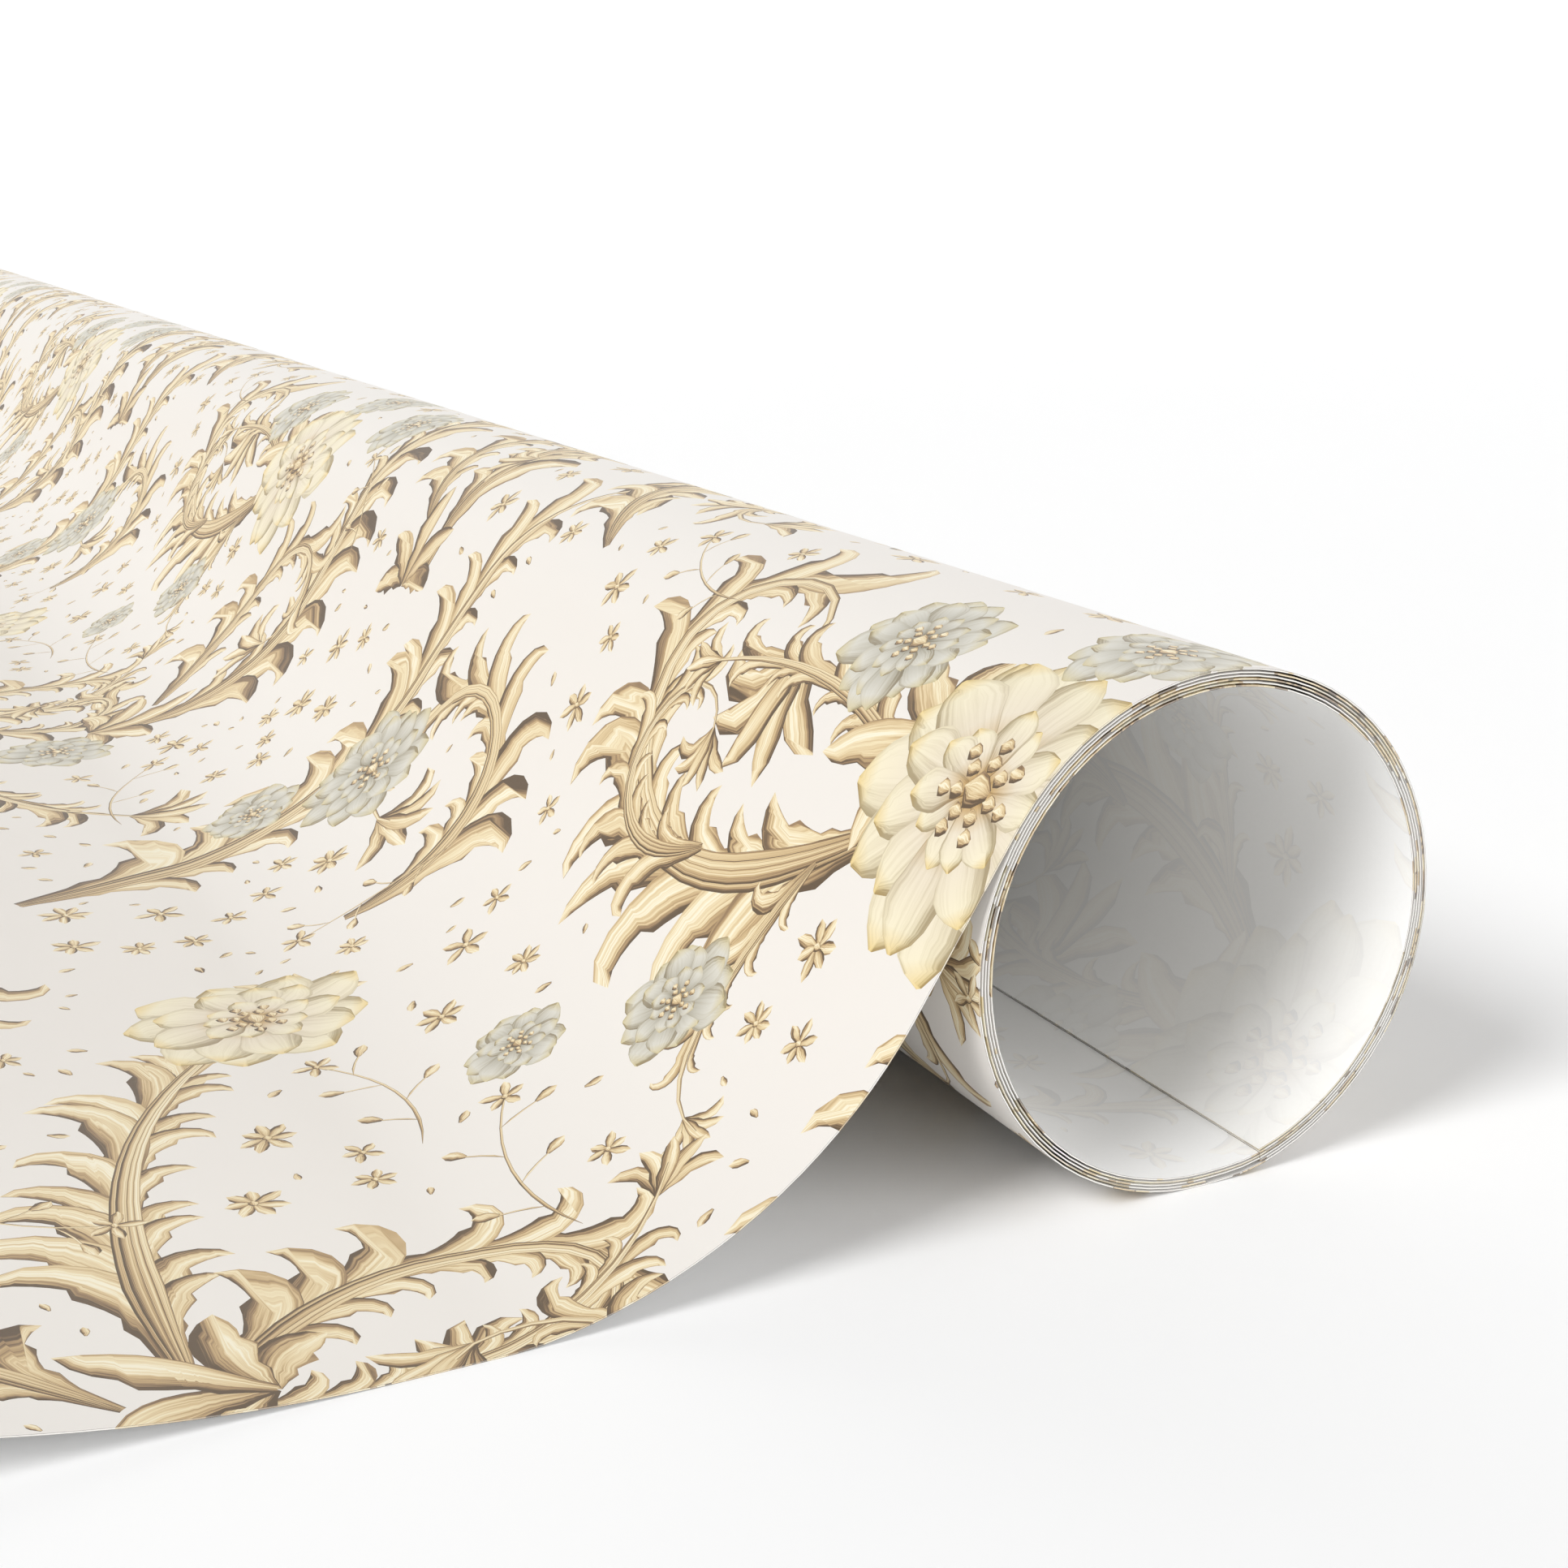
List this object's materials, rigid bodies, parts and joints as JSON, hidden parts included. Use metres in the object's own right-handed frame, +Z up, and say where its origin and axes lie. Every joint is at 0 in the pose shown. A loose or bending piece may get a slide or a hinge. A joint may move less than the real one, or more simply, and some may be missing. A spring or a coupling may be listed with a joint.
{
  "type": "wrapping paper roll",
  "caption": "Coreless roll of printed gift wrap, partly unrolled, with its outer turn falling to the table and curling up at the free end.",
  "frame": {"origin": "on the roll's axis, half way along the roll", "axes": "+X along the roll's axis, +Z up from the table, -Y towards the free end of the sheet"},
  "size_m": [0.762, 0.1768, 0.0426],
  "materials": {
    "plain_paper": "uncoated white paper, matt",
    "printed_paper": "white paper printed on one side with gold and grey leaf scrolls, satin"
  },
  "bodies": {
    "roll": {"turn_5": "printed_paper", "outer_turn": "printed_paper", "lead_drop": "printed_paper", "lead_toe": "printed_paper"},
    "coil": {"turn_4": "plain_paper"},
    "third_turn": {"turn_3": "plain_paper"},
    "second_turn": {"turn_2": "plain_paper"},
    "first_turn": {"turn_1": "plain_paper"},
    "laid_sheet": {"laid_near": "printed_paper"},
    "middle": {"laid_mid": "printed_paper"},
    "free_end": {"laid_end": "printed_paper"}
  },
  "joints": [
    {"name": "pull_out", "type": "slide", "parent": "roll", "child": "laid_sheet", "axis": [0, -1, 0], "range_m": [0, 0.025]},
    {"name": "coil_spin", "type": "hinge", "parent": "roll", "child": "coil", "pos_m": [0, 0, 0], "axis": [1, 0, 0], "range_deg": [0, 68]},
    {"name": "curl_near", "type": "hinge", "parent": "laid_sheet", "child": "middle", "pos_m": [0, -0.09056, -0.01823], "axis": [-1, 0, 0], "range_deg": [-12, 40], "stiffness_Nm_per_rad": 0.015, "springref_deg": 7.45},
    {"name": "curl_far", "type": "hinge", "parent": "middle", "child": "free_end", "pos_m": [0, -0.12376, -0.00737], "axis": [-1, 0, 0], "range_deg": [-12, 40], "stiffness_Nm_per_rad": 0.015, "springref_deg": 1.83},
    {"name": "turn_3_slide", "type": "slide", "parent": "coil", "child": "third_turn", "axis": [1, 0, 0], "range_m": [-0.012, 0.012]},
    {"name": "turn_2_slide", "type": "slide", "parent": "third_turn", "child": "second_turn", "axis": [1, 0, 0], "range_m": [-0.012, 0.012]},
    {"name": "turn_1_slide", "type": "slide", "parent": "second_turn", "child": "first_turn", "axis": [1, 0, 0], "range_m": [-0.012, 0.012]}
  ],
  "couplings": [
    {"joint": "coil_spin", "follows": "pull_out", "rad_per_m": 46.8},
    {"joint": "curl_far", "follows": "curl_near", "ratio": 1},
    {"joint": "turn_2_slide", "follows": "turn_3_slide", "ratio": 1},
    {"joint": "turn_1_slide", "follows": "turn_3_slide", "ratio": 1}
  ]
}
